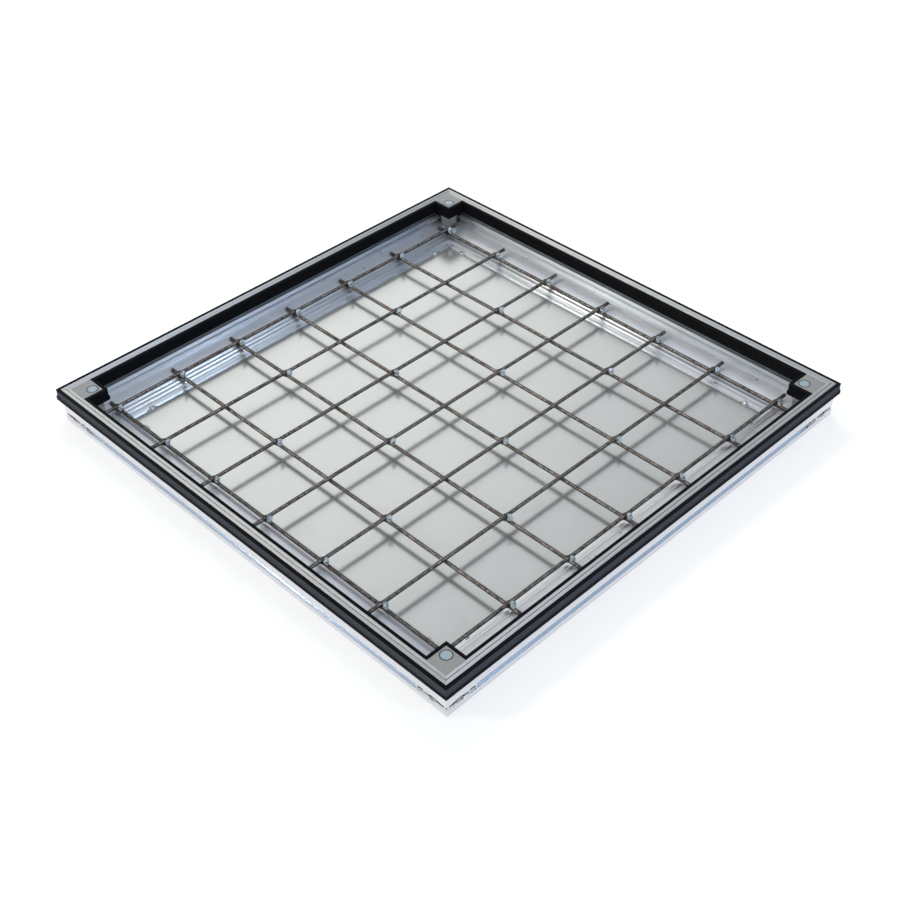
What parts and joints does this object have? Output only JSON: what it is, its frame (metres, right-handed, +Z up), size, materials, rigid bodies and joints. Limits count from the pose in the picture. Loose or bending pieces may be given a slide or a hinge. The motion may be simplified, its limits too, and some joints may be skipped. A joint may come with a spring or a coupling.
{
  "type": "recessed paving cover",
  "caption": "Recessed cover: an aluminium tray with bar mesh for paving, hung on a seal in a mitred frame with black edge trims and plugged lifting corners.",
  "frame": {"origin": "centre of the underside of the frame, on the surface it stands on", "axes": "+Z points up to the paving surface; the four sides run along X and Y, and the upper mesh bars run along Y"},
  "size_m": [0.7104, 0.7104, 0.05],
  "materials": {
    "frame_aluminium": "mill finish, satin",
    "tray_aluminium": "mill finish, satin with extrusion lines",
    "sheet_aluminium": "matte rolled sheet",
    "cap_aluminium": "fine grained, matte",
    "post_aluminium": "cut surface, satin",
    "cleat_metal": "bright cast",
    "trim_black": "black with a soft sheen",
    "seal_rubber": "matte black",
    "plug_grey": "pale blue grey, satin",
    "bar_steel": "dark ribbed bar with rust",
    "tie_zinc": "zinc coated wire"
  },
  "bodies": {
    "root": {"base_sheet": "sheet_aluminium", "corner_cap_back_left": "cap_aluminium", "corner_cap_back_right": "cap_aluminium", "corner_cap_front_left": "cap_aluminium", "corner_cap_front_right": "cap_aluminium", "corner_post_back_left": "post_aluminium", "corner_post_back_right": "post_aluminium", "corner_post_front_left": "post_aluminium", "corner_post_front_right": "post_aluminium", "frame_corner_cleat_back_left": "cleat_metal", "frame_corner_cleat_back_right": "cleat_metal", "frame_corner_cleat_front_left": "cleat_metal", "frame_corner_cleat_front_right": "cleat_metal", "frame_seal": "seal_rubber", "frame_side_back": "frame_aluminium", "frame_side_front": "frame_aluminium", "frame_side_left": "frame_aluminium", "frame_side_right": "frame_aluminium", "inner_edge_trim_back": "trim_black", "inner_edge_trim_front": "trim_black", "inner_edge_trim_left": "trim_black", "inner_edge_trim_right": "trim_black", "mesh_lower_bar_1": "bar_steel", "mesh_lower_bar_2": "bar_steel", "mesh_lower_bar_3": "bar_steel", "mesh_lower_bar_4": "bar_steel", "mesh_lower_bar_5": "bar_steel", "mesh_lower_bar_6": "bar_steel", "mesh_lower_bar_7": "bar_steel", "mesh_ties": "tie_zinc", "mesh_upper_bar_1": "bar_steel", "mesh_upper_bar_2": "bar_steel", "mesh_upper_bar_3": "bar_steel", "mesh_upper_bar_4": "bar_steel", "mesh_upper_bar_5": "bar_steel", "mesh_upper_bar_6": "bar_steel", "mesh_upper_bar_7": "bar_steel", "outer_edge_trim_back": "trim_black", "outer_edge_trim_front": "trim_black", "outer_edge_trim_left": "trim_black", "outer_edge_trim_right": "trim_black", "socket_plug_back_left": "plug_grey", "socket_plug_back_right": "plug_grey", "socket_plug_front_left": "plug_grey", "socket_plug_front_right": "plug_grey", "tray_corner_cleat_back_left": "cleat_metal", "tray_corner_cleat_back_right": "cleat_metal", "tray_corner_cleat_front_left": "cleat_metal", "tray_corner_cleat_front_right": "cleat_metal", "tray_side_back": "tray_aluminium", "tray_side_front": "tray_aluminium", "tray_side_left": "tray_aluminium", "tray_side_right": "tray_aluminium"}
  },
  "joints": []
}
